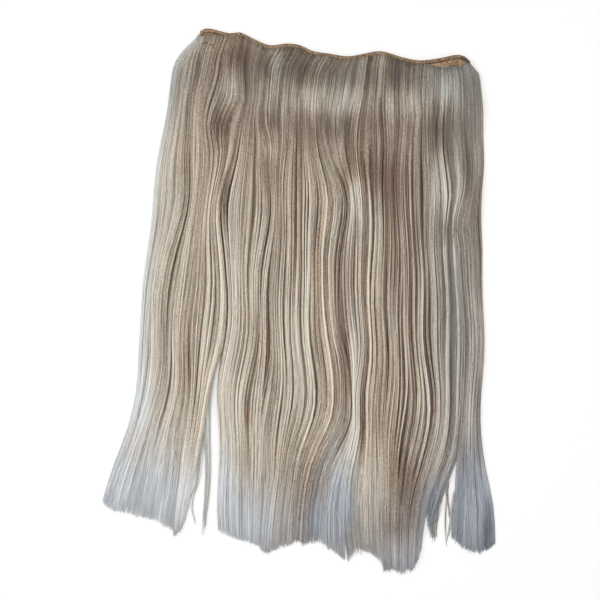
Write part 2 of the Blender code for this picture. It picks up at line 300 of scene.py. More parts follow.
def tubes(name, points, radii, sides, looks=None):
    """Many closed tubes with pointed ends, as one mesh.

    points is [tube, station, xyz] and radii is [tube, station]. looks, if given, is
    [tube, station, 3] and is kept in the attribute strand_looks. Each tube has its own strip
    of the map OFBake.
    """
    count, stations = radii.shape
    along = np.gradient(points, axis=1)
    along /= np.linalg.norm(along, axis=2, keepdims=True)
    side = np.cross(along, (0.0, 0.0, 1.0))
    side /= np.linalg.norm(side, axis=2, keepdims=True)
    up = np.cross(side, along)
    turns = math.pi / 2 + np.arange(sides) * 2 * math.pi / sides
    rings = (points[:, :, None, :]
             + radii[:, :, None, None] * (side[:, :, None, :] * np.cos(turns)[:, None]
                                          + up[:, :, None, :] * np.sin(turns)[:, None]))
    tips = np.stack((points[:, 0] - along[:, 0] * radii[:, :1],
                     points[:, -1] + along[:, -1] * radii[:, -1:]), axis=1)
    corners = np.concatenate((rings.reshape(count, -1, 3), tips), axis=1)
    each = stations * sides + 2

    strips = []
    for station in range(stations - 1):
        for turn in range(sides):
            here, there = station * sides + turn, station * sides + (turn + 1) % sides
            strips.append((here, there, there + sides, here + sides))
    ends = []
    last = (stations - 1) * sides
    for turn in range(sides):
        ends.append(((turn + 1) % sides, turn, each - 2))
        ends.append((last + turn, last + (turn + 1) % sides, each - 1))
    one_tube = np.concatenate([np.ravel(strips), np.ravel(ends)])
    corner_totals = np.tile(np.repeat((4, 3), (len(strips), len(ends))), count)
    corner_points = (one_tube[None, :] + each * np.arange(count)[:, None]).ravel()

    mesh = bpy.data.meshes.new(name)
    mesh.vertices.add(count * each)
    mesh.vertices.foreach_set("co", corners.astype(np.float32).ravel())
    mesh.loops.add(len(corner_points))
    mesh.loops.foreach_set("vertex_index", corner_points.astype(np.int32))
    mesh.polygons.add(len(corner_totals))
    starts = np.concatenate(([0], np.cumsum(corner_totals)[:-1]))
    mesh.polygons.foreach_set("loop_start", starts.astype(np.int32))
    mesh.update(calc_edges=True)
    mesh.shade_smooth()

    # The map: a cell for each tube, its length along U and the turns round it along V
    wide = max(1, round(math.sqrt(count * CELL_SHAPE)))
    high = math.ceil(count / wide)
    cell = np.arange(count)
    left, low = (cell % wide) / wide, (cell // wide) / high
    inner = np.array([
        (step / (stations - 1), (turn + extra) / sides)
        for station in range(stations - 1) for turn in range(sides)
        for step, extra in ((station, 0), (station, 1), (station + 1, 1), (station + 1, 0))
    ] + [
        (where, level)
        for _ in range(sides) for where, level in (
            (0.0, 0.0), (0.002, 0.5), (0.0, 1.0), (1.0, 0.0), (0.998, 0.5), (1.0, 1.0))
    ])
    u = left[:, None] + (CELL_MARGIN_U + (1 - 2 * CELL_MARGIN_U) * inner[:, 0]) / wide
    v = low[:, None] + (CELL_MARGIN_V + (1 - 2 * CELL_MARGIN_V) * inner[:, 1]) / high
    layer = mesh.uv_layers.new(name="OFBake")
    layer.uv.foreach_set("vector", np.stack((u, v), axis=2).astype(np.float32).ravel())

    if looks is not None:
        kept = np.concatenate(
            (np.repeat(looks, sides, axis=1), looks[:, :1], looks[:, -1:]), axis=1)
        kept = np.concatenate((kept, np.ones(kept.shape[:2] + (1,))), axis=2)
        attribute = mesh.attributes.new("strand_looks", "FLOAT_COLOR", "POINT")
        attribute.data.foreach_set("color", kept.astype(np.float32).ravel())
    return mesh


random = np.random.default_rng(7)
stitches = round((STITCHED[1] - STITCHED[0]) * BAND_LENGTH / STITCH_PITCH)
start = np.linspace(*STITCHED, stitches)[:, None]
part = np.linspace(0.0, 1.0, STITCH_STEPS)[None, :]
jitter = random.normal(0.0, STITCH_JITTER, (stitches, 1))
across = start + (0.5 - part) * STITCH_SLANT / BAND_LENGTH + jitter / BAND_LENGTH
lean = STITCH_START + (STITCH_REACH + random.uniform(*STITCH_UNEVEN, (stitches, 1))) * part
stitch_points = np.stack((
    BAND_MIDDLE + across * BAND_LENGTH,
    BAND_HEIGHT + band_rise(across) - lean * SEAM_HEIGHT,
    (LACE_THICKNESS + GAP + SEAM_THICKNESS * (0.30 + 0.66 * np.sin(math.pi * part) ** 0.5)
     + np.zeros_like(across)),
), axis=2)
stitch_radii = STITCH_RADIUS * (0.55 + 0.45 * np.sin(math.pi * part)) * np.ones((stitches, 1))
stitching = show("weft_seam_stitches", tubes("weft_seam_stitches", stitch_points, stitch_radii,
                                             STITCH_SIDES), golden_thread)
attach(stitching, "root")


# The folded ends. The tape's two ends are turned over below the seam and sewn down flat. The
# right one is held by a bar-tack of three bars of brown thread and by slanting golden stitches,
# and shows as a tan corner. Two short bars of brown thread hold the left end through the hair.
FOLD_ROUNDING = 0.00028

# The right fold's bar-tack. Its place is a share across and metres below the band's top edge.
BAR_LENGTH = 0.0078
BAR_SPACING = 0.0021
BAR_PLACE = (0.4405, 0.0122)
BAR_WRAPS = 9
BAR_RADIUS = 0.00032
BAR_LEAN = (0.0004, 0.0005)

# The left end's short bars: share across, metres below the band's middle height, how many
# wraps, and the bar's length in metres
LEFT_BARS = ((-0.479, -0.0025, 5, 0.0030), (-0.459, -0.0005, 5, 0.0034))
LEFT_BAR_HEIGHT = 0.0066
LEFT_BAR_UNEVEN = 0.0004

# The right fold's rows of slanting stitches: the shares across where a row starts and ends, and
# how far it lies below the band's top edge, in metres
FOLD_STITCH_ROWS = (
    (0.392, 0.458, 0.0048), (0.398, 0.459, 0.0062), (0.408, 0.461, 0.0077), (0.424, 0.462, 0.0092),
)
FOLD_STITCH_PITCH = 0.0013
FOLD_STITCH_JITTER = 0.0003
FOLD_STITCH_LEAN = (0.0007, 0.0006)
FOLD_STITCH_RADIUS = 0.00030
FOLD_STITCH_SIDES = 5

# How a short stitch arches over the cloth: its lean, from one end to the other, and its lift in
# metres. THREAD_LIFT is how far above the fold its ends lie.
STITCH_ARCH = ((-1.0, 0.0), (-0.5, 0.0003), (0.5, 0.0003), (1.0, 0.0))
THREAD_LIFT = 0.0001


def short_stitch(x, y, z, lean):
    """The points of a short stitch that leans to either side of a place."""
    return [(x + way * lean[0], y + way * lean[1], z + lift) for way, lift in STITCH_ARCH]


def sewn(name, stitches, radius, sides, surface):
    """Show short stitches of one thickness as one piece."""
    points = np.array(stitches)
    return show(name, tubes(name, points, np.full(points.shape[:2], radius), sides), surface)


for name in ("end_fold_left", "end_fold_right"):
    builder = bmesh.new()
    builder.from_mesh(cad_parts[name].data)
    bmesh.ops.remove_doubles(builder, verts=builder.verts, dist=0.00001)
    bmesh.ops.dissolve_limit(builder, angle_limit=0.02, verts=builder.verts, edges=builder.edges)
    bmesh.ops.bevel(builder, geom=builder.edges[:], offset=FOLD_ROUNDING, affect="EDGES",
                    segments=3, profile=0.5, material=-1)
    bmesh.ops.recalc_face_normals(builder, faces=builder.faces[:])
    mesh = bpy.data.meshes.new(name + "_cloth")
    builder.to_mesh(mesh)
    builder.free()
    mesh.shade_smooth()
    fold = show(name + "_cloth", mesh, lace)
    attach(fold, "root")
    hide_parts(name)

bars, left_bars = [], []
fold_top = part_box("end_fold_right")[1].z
for bar in (-1, 0, 1):
    for wrap in range(BAR_WRAPS):
        offset = (wrap / (BAR_WRAPS - 1) - 0.5) * BAR_LENGTH
        share = BAR_PLACE[0] + offset / BAND_LENGTH
        x = BAND_MIDDLE + share * BAND_LENGTH
        y = BAND_HEIGHT + float(band_rise(np.array(share))) - BAR_PLACE[1] + bar * BAR_SPACING
        bars.append(short_stitch(x, y, fold_top + THREAD_LIFT, BAR_LEAN))
for middle, height, wraps, length in LEFT_BARS:
    for wrap in range(wraps):
        x = BAND_MIDDLE + middle * BAND_LENGTH + (wrap / (wraps - 1) - 0.5) * length
        y = BAND_HEIGHT - height + LEFT_BAR_UNEVEN * math.sin(2.4 * wrap)
        left_bars.append(short_stitch(x, y, LEFT_BAR_HEIGHT, BAR_LEAN))
tack = sewn("right_bar_tack", bars, BAR_RADIUS, STITCH_SIDES, brown_thread)
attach(tack, "root")
left_tack = sewn("left_bar_tack", left_bars, BAR_RADIUS, STITCH_SIDES, brown_thread)
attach(left_tack, "root")

slants = []
random = np.random.default_rng(5)
for first, last, below in FOLD_STITCH_ROWS:
    for share in np.arange(first, last, FOLD_STITCH_PITCH / BAND_LENGTH):
        x = BAND_MIDDLE + share * BAND_LENGTH + random.normal(0, FOLD_STITCH_JITTER)
        y = BAND_HEIGHT + float(band_rise(np.array(share))) - below
        y += random.normal(0, FOLD_STITCH_JITTER)
        slants.append(short_stitch(x, y, fold_top + THREAD_LIFT, FOLD_STITCH_LEAN))
fold_stitches = sewn(
    "right_fold_stitches", slants, FOLD_STITCH_RADIUS, FOLD_STITCH_SIDES, golden_thread)
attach(fold_stitches, "root")


# The under row. The lower row of long fair hair, cooler in tone, lies on the table in locks that
# are joined near the band and part towards their tips. It is smooth, combed-out hair, sewn on by
# its ends, and shows at both sides, at the tips and in the gap at the left.

# The length that shares down are shares of, and how thick each row is where it is fullest
HAIR_DROP = 0.525
UNDER_THICKNESS = 0.0050
TOP_THICKNESS = 0.0048

# The lines between the locks, from the left edge of the hair to its right edge.
# bare: how far below the seam the hair starts, as a share of the lace that shows there
# parts: share down at which the locks on either side part
# left, right: how far each side has moved off the line at the tips, as shares across
# root: share across at the seam
# across: shares across at the levels of LEVELS
LEVELS = (0.055, 0.122, 0.198, 0.293, 0.408, 0.541, 0.674, 0.789, 0.884, 1.000)
Line = namedtuple("Line", "bare parts left right root across")
LINES = (
    Line(0.00, 0.790, 0.000, 0.000, -0.500,
         (-0.604, -0.626, -0.650, -0.678, -0.700, -0.730, -0.739, -0.815, -0.867, -0.870)),
    Line(0.40, 0.840, 0.001, 0.001, -0.489,
         (-0.522, -0.544, -0.559, -0.561, -0.620, -0.643, -0.670, -0.752, -0.796, -0.811)),
    Line(0.02, 0.885, 0.001, 0.001, -0.407,
         (-0.444, -0.478, -0.481, -0.489, -0.511, -0.533, -0.544, -0.563, -0.593, -0.611)),
    Line(0.02, 0.580, 0.126, 0.000, -0.315,
         (-0.330, -0.343, -0.367, -0.422, -0.404, -0.406, -0.437, -0.428, -0.435, -0.426)),
    Line(0.02, 0.885, 0.001, 0.001, -0.222,
         (-0.263, -0.270, -0.256, -0.244, -0.274, -0.285, -0.319, -0.326, -0.319, -0.315)),
    Line(0.02, 0.925, 0.001, 0.001, -0.111,
         (-0.152, -0.170, -0.178, -0.189, -0.198, -0.196, -0.196, -0.219, -0.241, -0.256)),
    Line(0.02, 0.885, 0.001, 0.001, -0.022,
         (-0.059, -0.070, -0.067, -0.026, -0.037, -0.026, -0.007, -0.081, -0.119, -0.126)),
    Line(0.02, 0.885, 0.001, 0.001, 0.019,
         (-0.019, -0.030, -0.019, 0.041, 0.019, 0.011, 0.056, -0.007, -0.052, -0.056)),
    Line(0.02, 0.925, 0.006, 0.006, 0.111,
         (0.100, 0.078, 0.063, 0.074, 0.085, 0.076, 0.067, 0.041, 0.033, 0.044)),
    Line(0.02, 0.925, 0.001, 0.001, 0.185,
         (0.174, 0.163, 0.181, 0.178, 0.174, 0.165, 0.163, 0.167, 0.170, 0.181)),
    Line(0.02, 0.925, 0.001, 0.001, 0.241,
         (0.237, 0.233, 0.230, 0.231, 0.233, 0.237, 0.237, 0.220, 0.207, 0.218)),
    Line(0.02, 0.925, 0.001, 0.001, 0.333,
         (0.326, 0.319, 0.315, 0.326, 0.330, 0.339, 0.363, 0.330, 0.281, 0.274)),
    Line(0.95, 0.885, 0.012, 0.012, 0.415,
         (0.419, 0.419, 0.415, 0.433, 0.426, 0.426, 0.430, 0.396, 0.340, 0.328)),
    Line(1.00, 0.785, 0.064, 0.004, 0.462,
         (0.474, 0.476, 0.485, 0.481, 0.474, 0.481, 0.481, 0.452, 0.444, 0.415)),
    Line(0.10, 0.790, 0.000, 0.000, 0.489,
         (0.537, 0.546, 0.552, 0.543, 0.548, 0.552, 0.544, 0.552, 0.587, 0.600)),
)

# The locks, from left to right.
# left, middle, right: shares down at which the lock's end lies
# tone: how light the lock is, from 0 to 1, where 0.5 is the hair's middle tone
# cool: how far the lock is greyed, from 0 to 1
Lock = namedtuple("Lock", "left middle right tone cool")
LOCKS = (
    Lock(0.870, 0.882, 0.884, 0.60, 0.10),
    Lock(0.886, 0.899, 0.920, 0.50, 0.10),
    Lock(0.933, 0.930, 0.910, 0.52, 0.05),
    Lock(0.920, 0.935, 0.943, 0.56, 0.10),
    Lock(0.943, 0.954, 0.964, 0.50, 0.05),
    Lock(0.964, 0.950, 0.940, 0.52, 0.05),
    Lock(0.949, 0.943, 0.943, 0.46, 0.10),
    Lock(0.945, 0.962, 0.979, 0.58, 0.10),
    Lock(0.979, 0.960, 0.990, 0.54, 0.10),
    Lock(0.994, 0.995, 0.994, 0.45, 0.10),
    Lock(0.994, 0.999, 0.996, 0.48, 0.10),
    Lock(0.996, 0.990, 0.960, 0.47, 0.22),
    Lock(0.942, 0.954, 0.890, 0.46, 0.30),
    Lock(0.937, 0.962, 0.945, 0.41, 0.40),
)

# How full the rows are: share along, share of UNDER_THICKNESS, share of TOP_THICKNESS
FULLNESS = (
    (0.000, 0.25, 0.26), (0.020, 0.50, 0.50), (0.055, 0.90, 0.95), (0.090, 1.00, 1.00),
    (0.122, 0.95, 0.92), (0.198, 0.78, 0.74), (0.293, 0.86, 0.82), (0.541, 0.80, 0.75),
    (0.790, 0.62, 0.55), (0.885, 0.42, 0.36), (1.000, 0.24, 0.20),
)

# How thick a lock is at the outline and at a line between two locks, as shares of its middle
OUTER_EDGE = 0.30
CREASE = 0.70

# How much higher the hair lies at its roots, and how far up it covers the seam there, in metres
ROOT_LIFT = 0.0009
SEAM_COVERED = 0.0012

# The waves that the hair dried in: share across, share down, half their width and length in
# metres, and their rise in metres
WAVES = (
    (-0.10, 0.100, 0.160, 0.020, 0.0012),
    (-0.10, 0.165, 0.060, 0.022, -0.0014),
    (0.13, 0.215, 0.022, 0.034, -0.0016),
    (0.10, 0.290, 0.020, 0.024, 0.0012),
    (0.40, 0.120, 0.050, 0.020, 0.0012),
    (0.42, 0.185, 0.040, 0.024, -0.0016),
    (0.40, 0.290, 0.040, 0.022, 0.0014),
    (0.42, 0.380, 0.040, 0.026, -0.0014),
)

# Soft patches where the waves shade the hair or catch the light, and where its tips thin out
# across, down: the patch's middle, as shares
# width, length: half its size in metres
# tone, cool: what is added to the hair's tone and to its greyness, where it isn't left out
Patch = namedtuple("Patch", "across down width length tone cool", defaults=(0.0,))
PATCHES = [Patch(*row) for row in (
    (-0.222, 0.040, 0.030, 0.020, -0.22, 0.10),
    (-0.020, 0.048, 0.036, 0.018, -0.24, 0.10),
    (0.235, 0.045, 0.011, 0.026, -0.26, 0.10),
    (-0.333, 0.053, 0.006, 0.036, -0.20),
    (-0.515, 0.042, 0.004, 0.022, -0.22),
    (-0.220, 0.034, 0.007, 0.011, 0.24, 0.10),
    (0.155, 0.046, 0.009, 0.013, 0.12, 0.10),
    (-0.390, 0.084, 0.012, 0.018, 0.30),
    (-0.437, 0.154, 0.008, 0.016, -0.36),
    (-0.230, 0.154, 0.007, 0.014, -0.24),
    (-0.252, 0.192, 0.006, 0.014, 0.28),
    (-0.411, 0.284, 0.005, 0.026, -0.45),
    (-0.105, 0.103, 0.018, 0.013, 0.28, 0.05),
    (0.045, 0.105, 0.011, 0.012, 0.28, 0.05),
    (0.152, 0.093, 0.007, 0.012, 0.20, 0.05),
    (0.204, 0.122, 0.004, 0.018, 0.22),
    (0.281, 0.112, 0.006, 0.016, 0.30),
    (0.400, 0.050, 0.030, 0.026, -0.10, 0.15),
    (0.415, 0.088, 0.010, 0.017, 0.26, 0.15),
    (0.363, 0.166, 0.012, 0.017, -0.34),
    (0.440, 0.180, 0.020, 0.030, -0.18),
    (0.467, 0.180, 0.006, 0.070, 0.18),
    (-0.010, 0.160, 0.020, 0.012, -0.16),
    (0.050, 0.200, 0.006, 0.045, -0.34),
    (0.140, 0.230, 0.009, 0.060, -0.26),
    (0.085, 0.278, 0.008, 0.014, 0.28, 0.10),
    (0.122, 0.322, 0.015, 0.026, 0.16, 0.10),
    (0.389, 0.269, 0.012, 0.026, 0.24, 0.10),
    (0.426, 0.349, 0.012, 0.012, -0.34),
    (0.519, 0.217, 0.004, 0.030, 0.20, 0.10),
    (0.444, 0.522, 0.028, 0.090, -0.12, 0.30),
    (-0.590, 0.300, 0.008, 0.040, 0.10, 0.10),
    (-0.685, 0.540, 0.010, 0.120, 0.14, 0.30),
    (-0.630, 0.740, 0.036, 0.050, 0.26),
    (-0.320, 0.740, 0.016, 0.070, 0.20),
    (-0.718, 0.678, 0.007, 0.030, 0.10, 0.60),
    (-0.700, 0.860, 0.052, 0.036, 0.36, 0.85),
    (-0.322, 0.920, 0.032, 0.034, 0.26, 0.65),
    (0.018, 0.855, 0.013, 0.044, 0.02, 0.90),
    (-0.050, 0.915, 0.016, 0.022, 0.05, 0.70),
    (-0.415, 0.870, 0.012, 0.060, 0.18, 0.50),
    (-0.400, 0.640, 0.010, 0.080, 0.14),
    (0.360, 0.880, 0.012, 0.030, -0.02, 0.50),
    (0.000, 0.050, 0.200, 0.045, 0.00, 0.15),
    (0.313, 0.170, 0.006, 0.050, 0.24),
    (-0.312, 0.150, 0.010, 0.050, -0.24),
    (-0.400, 0.140, 0.010, 0.045, -0.12),
    (0.038, 0.520, 0.008, 0.110, -0.46),
    (-0.130, 0.220, 0.012, 0.080, -0.10),
    (0.180, 0.910, 0.014, 0.020, -0.08),
    (-0.350, 0.018, 0.020, 0.014, -0.20),
    (-0.120, 0.080, 0.010, 0.045, -0.16),
    (-0.130, 0.630, 0.010, 0.050, 0.34),
    (0.493, 0.790, 0.010, 0.030, -0.16),
    (0.352, 0.240, 0.006, 0.050, -0.18),
    (-0.520, 0.640, 0.008, 0.100, -0.30),
    (-0.600, 0.440, 0.012, 0.100, 0.08),
    (0.078, 0.715, 0.006, 0.080, 0.50),
    (-0.062, 0.450, 0.006, 0.090, -0.32),
    (0.107, 0.720, 0.006, 0.040, -0.30),
    (-0.270, 0.760, 0.010, 0.050, 0.16),
    (-0.335, 0.790, 0.007, 0.040, -0.20),
    (0.080, 0.150, 0.110, 0.010, -0.13),
    (0.120, 0.100, 0.100, 0.009, 0.08),
    (0.040, 0.245, 0.080, 0.014, -0.06),
    (0.205, 0.270, 0.011, 0.045, -0.24),
    (-0.218, 0.062, 0.010, 0.014, 0.16),
    (-0.350, 0.885, 0.030, 0.016, -0.10),
    (0.226, 0.930, 0.016, 0.012, -0.14),
    (-0.663, 0.220, 0.010, 0.030, 0.14),
    (0.150, 0.070, 0.006, 0.030, -0.34),
    (0.230, 0.490, 0.010, 0.040, -0.14),
    (-0.574, 0.280, 0.008, 0.100, -0.10),
    (-0.440, 0.100, 0.020, 0.050, -0.11),
    (-0.303, 0.660, 0.006, 0.070, -0.10),
    (-0.258, 0.040, 0.006, 0.014, -0.20),
    (-0.250, 0.250, 0.008, 0.060, -0.20),
    (-0.671, 0.540, 0.008, 0.100, -0.10),
    (0.315, 0.350, 0.010, 0.030, -0.16),
    (0.220, 0.057, 0.008, 0.014, -0.12),
    (-0.130, 0.370, 0.013, 0.045, -0.13),
    (0.293, 0.350, 0.006, 0.150, -0.34),
    (-0.600, 0.110, 0.014, 0.020, -0.12),
    (0.060, 0.790, 0.014, 0.030, 0.12),
    (0.048, 0.930, 0.010, 0.016, -0.14),
    (0.226, 0.970, 0.012, 0.016, 0.14),
    (0.507, 0.874, 0.021, 0.052, 0.04, 0.85),
    (0.240, 0.985, 0.028, 0.012, 0.00, 0.60),
    (-0.111, 0.827, 0.013, 0.045, -0.16),
    (-0.322, 0.697, 0.005, 0.014, -0.20),
    (-0.148, 0.893, 0.006, 0.020, -0.14),
    (0.244, 0.789, 0.010, 0.028, -0.26),
    (0.296, 0.865, 0.024, 0.036, -0.22),
    (0.322, 0.730, 0.014, 0.009, -0.22),
    (0.356, 0.728, 0.010, 0.006, 0.24),
    (0.148, 0.830, 0.014, 0.050, 0.16),
    (0.570, 0.918, 0.005, 0.024, -0.34),
    (0.533, 0.684, 0.005, 0.036, -0.30, 0.20),
    (-0.222, 0.280, 0.012, 0.060, -0.06),
    (-0.105, 0.170, 0.014, 0.030, -0.20),
    (0.130, 0.290, 0.014, 0.070, -0.09),
    (0.230, 0.340, 0.010, 0.080, -0.24),
    (0.510, 0.280, 0.009, 0.110, -0.36),
    (-0.485, 0.600, 0.012, 0.080, 0.26),
    (-0.485, 0.760, 0.014, 0.050, 0.18),
)]

# How the strands swing aside: across, down, half the patch's width and length, and the swing,
# all three in metres
SWINGS = (
    (-0.378, 0.099, 0.014, 0.018, 0.0060),
    (-0.441, 0.156, 0.012, 0.018, -0.0045),
    (-0.241, 0.192, 0.009, 0.016, 0.0030),
    (-0.270, 0.137, 0.010, 0.014, -0.0020),
    (0.285, 0.126, 0.012, 0.020, 0.0030),
    (0.241, 0.065, 0.012, 0.018, -0.0020),
    (0.530, 0.227, 0.012, 0.022, 0.0025),
    (0.480, 0.335, 0.014, 0.024, -0.0070),
    (-0.560, 0.300, 0.016, 0.040, 0.0030),
    (-0.060, 0.500, 0.020, 0.050, -0.0030),
    (0.046, 0.588, 0.021, 0.036, 0.0050),
    (0.050, 0.725, 0.021, 0.028, 0.0050),
    (0.200, 0.560, 0.020, 0.050, 0.0020),
)

# The slow sway of all the strands: how far aside, and its length and width, in metres
SWAY = 0.0012
SWAY_LENGTH = 0.130
SWAY_WIDTH = 0.110

# How much shorter the strings of two of the locks may be, as a share of the lock's length
RAGGED = {2: 0.02, 12: 0.16}

# How far above the rest strands may start where the lace is bare, as a share of their length,
# and which share of them does
OVER_FOLD = 0.003
OVER_FOLD_SHARE = 0.3

# How much painted shade darkens the groove along each line, in tone, from the left edge to the
# right one
GROOVE_SHADES = (0.0, 0.34, 0.12, 0.20, 0.26, 0.16, 0.20, 0.16, 0.04, 0.26, 0.12, 0.22, 0.26, 0.12, 0.0)

# The shares down at which the lines between the locks are worked out
DEPTHS = np.linspace(-0.08, 1.08, 500)


def soft_step(low, high, values):
    t = np.clip((values - low) / (high - low), 0.0, 1.0)
    return t * t * (3 - 2 * t)


def root_place(share, bare):
    """Y at which the hair starts, below the seam and any bare lace."""
    lace_showing = LACE_HEIGHT - SEAM_HEIGHT
    return BAND_HEIGHT + band_rise(share) - SEAM_HEIGHT - GAP - bare * lace_showing


def line_shares(line):
    """Share across of a line between locks, at each of DEPTHS."""
    begins = (BAND_HEIGHT - float(root_place(np.array(line.root), line.bare))) / HAIR_DROP
    part = np.clip((DEPTHS - begins) / (LEVELS[0] - begins), 0.0, 1.0)
    near_band = mix(line.root, line.across[0], 1 - (1 - part) ** 2)
    below = through(tuple(zip(LEVELS, line.across)), DEPTHS)
    shares = np.pad(np.where(DEPTHS <= LEVELS[0], near_band, below), 5, mode="edge")
    return np.convolve(shares, np.full(11, 1 / 11), mode="valid")


LINE_SHARES = [line_shares(line) for line in LINES]


def nearness(x, y, across, down, width, length):
    """How near each place is to a middle, given as shares, from 1 there to 0 well away."""
    return np.exp(-((x - BAND_MIDDLE - across * BAND_LENGTH) / width) ** 2
                  - ((BAND_HEIGHT - y - down * HAIR_DROP) / length) ** 2)


def patched(x, y):
    """The tone and the greyness that the patches add at each place."""
    tone, cool = np.zeros_like(x), np.zeros_like(x)
    for patch in PATCHES:
        near = nearness(x, y, patch.across, patch.down, patch.width, patch.length)
        tone += patch.tone * near
        cool += patch.cool * near
    return tone, cool


def swung(x, y):
    """X moved aside by the hair's slow waves."""
    aside = SWAY * np.sin(2 * math.pi * (y / SWAY_LENGTH + x / SWAY_WIDTH))
    for *patch, swing in SWINGS:
        aside += swing * nearness(x, y, *patch)
    return x + aside


def lock_place(index, across, along):
    """X and Y of places in a lock: across from 0 to 1, and along from the band to the tips."""
    lock, left, right = LOCKS[index], LINES[index], LINES[index + 1]
    bare = mix(left.bare, right.bare, across)
    root = root_place(mix(left.root, right.root, across), bare)
    root = root + SEAM_COVERED * (1 - np.clip(bare * 3, 0, 1))
    end = (mix(lock.left, lock.right, across)
           + (lock.middle - (lock.left + lock.right) / 2) * 4 * across * (1 - across))
    y = mix(root, BAND_HEIGHT - end * HAIR_DROP, along)
    depth = (BAND_HEIGHT - y) / HAIR_DROP
    left_parted = np.clip((depth - left.parts) / (lock.left - left.parts), 0.0, 1.1)
    right_parted = np.clip((depth - right.parts) / (lock.right - right.parts), 0.0, 1.1)
    left_share = np.interp(depth, DEPTHS, LINE_SHARES[index]) + left.right * left_parted
    right_share = np.interp(depth, DEPTHS, LINE_SHARES[index + 1]) - right.left * right_parted
    return BAND_MIDDLE + mix(left_share, right_share, across) * BAND_LENGTH, y


def hair_top(index, across, along, x, y, rows):
    """Z of the hair's upper side, with one row or with both."""
    fullness = UNDER_THICKNESS * through([f[:2] for f in FULLNESS], along)
    if rows == 2:
        fullness = fullness + TOP_THICKNESS * through([f[::2] for f in FULLNESS], along)
    edges = [OUTER_EDGE if line in (0, len(LOCKS)) else CREASE for line in (index, index + 1)]
    inside = np.clip(across, 0.0, 1.0)
    rounding = mix(mix(edges[0], edges[1], inside), 1.0, np.sin(math.pi * inside) ** 0.6)
    waves = np.zeros_like(x)
    for *patch, rise in WAVES:
        waves += rise * nearness(x, y, *patch)
    lift = (LACE_THICKNESS + GAP) * (1 - soft_step(0.02, 0.055, along))
    lift = lift + ROOT_LIFT * (1 - soft_step(0.0, 0.02, along))
    return lift + fullness * rounding + waves * soft_step(0.0, 0.08, along)


# The strands' stations, as shares of their length, closer together where the waves are short
HAIR_STATIONS = np.array((
    0.000, 0.010, 0.022, 0.038, 0.056, 0.078, 0.102, 0.128, 0.154, 0.180, 0.206, 0.234, 0.264,
    0.298, 0.334, 0.372, 0.412, 0.454, 0.498, 0.540, 0.580, 0.616, 0.650, 0.684, 0.715, 0.745,
    0.775, 0.806, 0.842, 0.882, 0.920, 0.960, 1.000,
))

# The sizes of the strands, of the strings that they gather into and of the painted shade along
# the grooves, in metres, and how many sides a strand has
STRAND_RADIUS = 0.00025
HAIR_SIDES = 3
STRING_WIDTH = 0.0042
STRING_HEIGHT = 0.0012
GROOVE_WIDTH = 0.0026

# How many small strings a string is made of, and how many strands it has: in the two outer locks
# of the under row, in its locks that the top row covers, and in the top row
SMALL_STRINGS = 5
UNDER_STRANDS = {0: 52, 13: 120}
COVERED_STRANDS = 10
TOP_STRANDS = 45

# How tightly the strings gather, from 0 to 1, in some locks of each row and in the others
UNDER_GATHERED = {0: 0.35, 13: 0.35}
OTHERS_UNDER_GATHERED = 0.80
TOP_GATHERED = {1: 0.60, 2: 0.68, 3: 0.76, 11: 0.50, 12: 0.42}
OTHERS_TOP_GATHERED = 0.90

# How much tones differ between strings, small strings and strands, which share of the small
# strings is made lighter as a painted highlight and by how much, and the greyest that a string may
# be made
STRING_TONES = 0.045
SMALL_TONES = 0.14
STRAND_TONES = 0.15
HIGHLIGHT_SHARE = 0.08
PAINTED_HIGHLIGHT = 0.22
STRING_GREYNESS = 0.14

# Which share of the strands may end early, and by how much, as a share of their length
EARLY_SHARE = 0.5
EARLY_BY = 0.12

# How deep the strands of a string are layered, how far the patches' edges are broken up across
# and down, and how far in from the left edge the hair is greyed, in metres, and how much
LAYER_DEPTH = 0.0011
PATCH_JITTER = (0.0013, 0.0045)
LEFT_EDGE_WIDTH = 0.006
LEFT_EDGE_GREY = 0.6


def slow_noise(random, shape, along, scale):
    """Smooth wandering, one row for each strand."""
    total = np.zeros(shape)
    for waves, size in ((1.1, 1.0), (2.3, 0.45), (3.9, 0.20)):
        phase = random.uniform(0, 2 * math.pi, (shape[0], 1))
        total += size * random.normal(0, 1, (shape[0], 1)) * np.sin(
            2 * math.pi * waves * along + phase)
    return total * scale


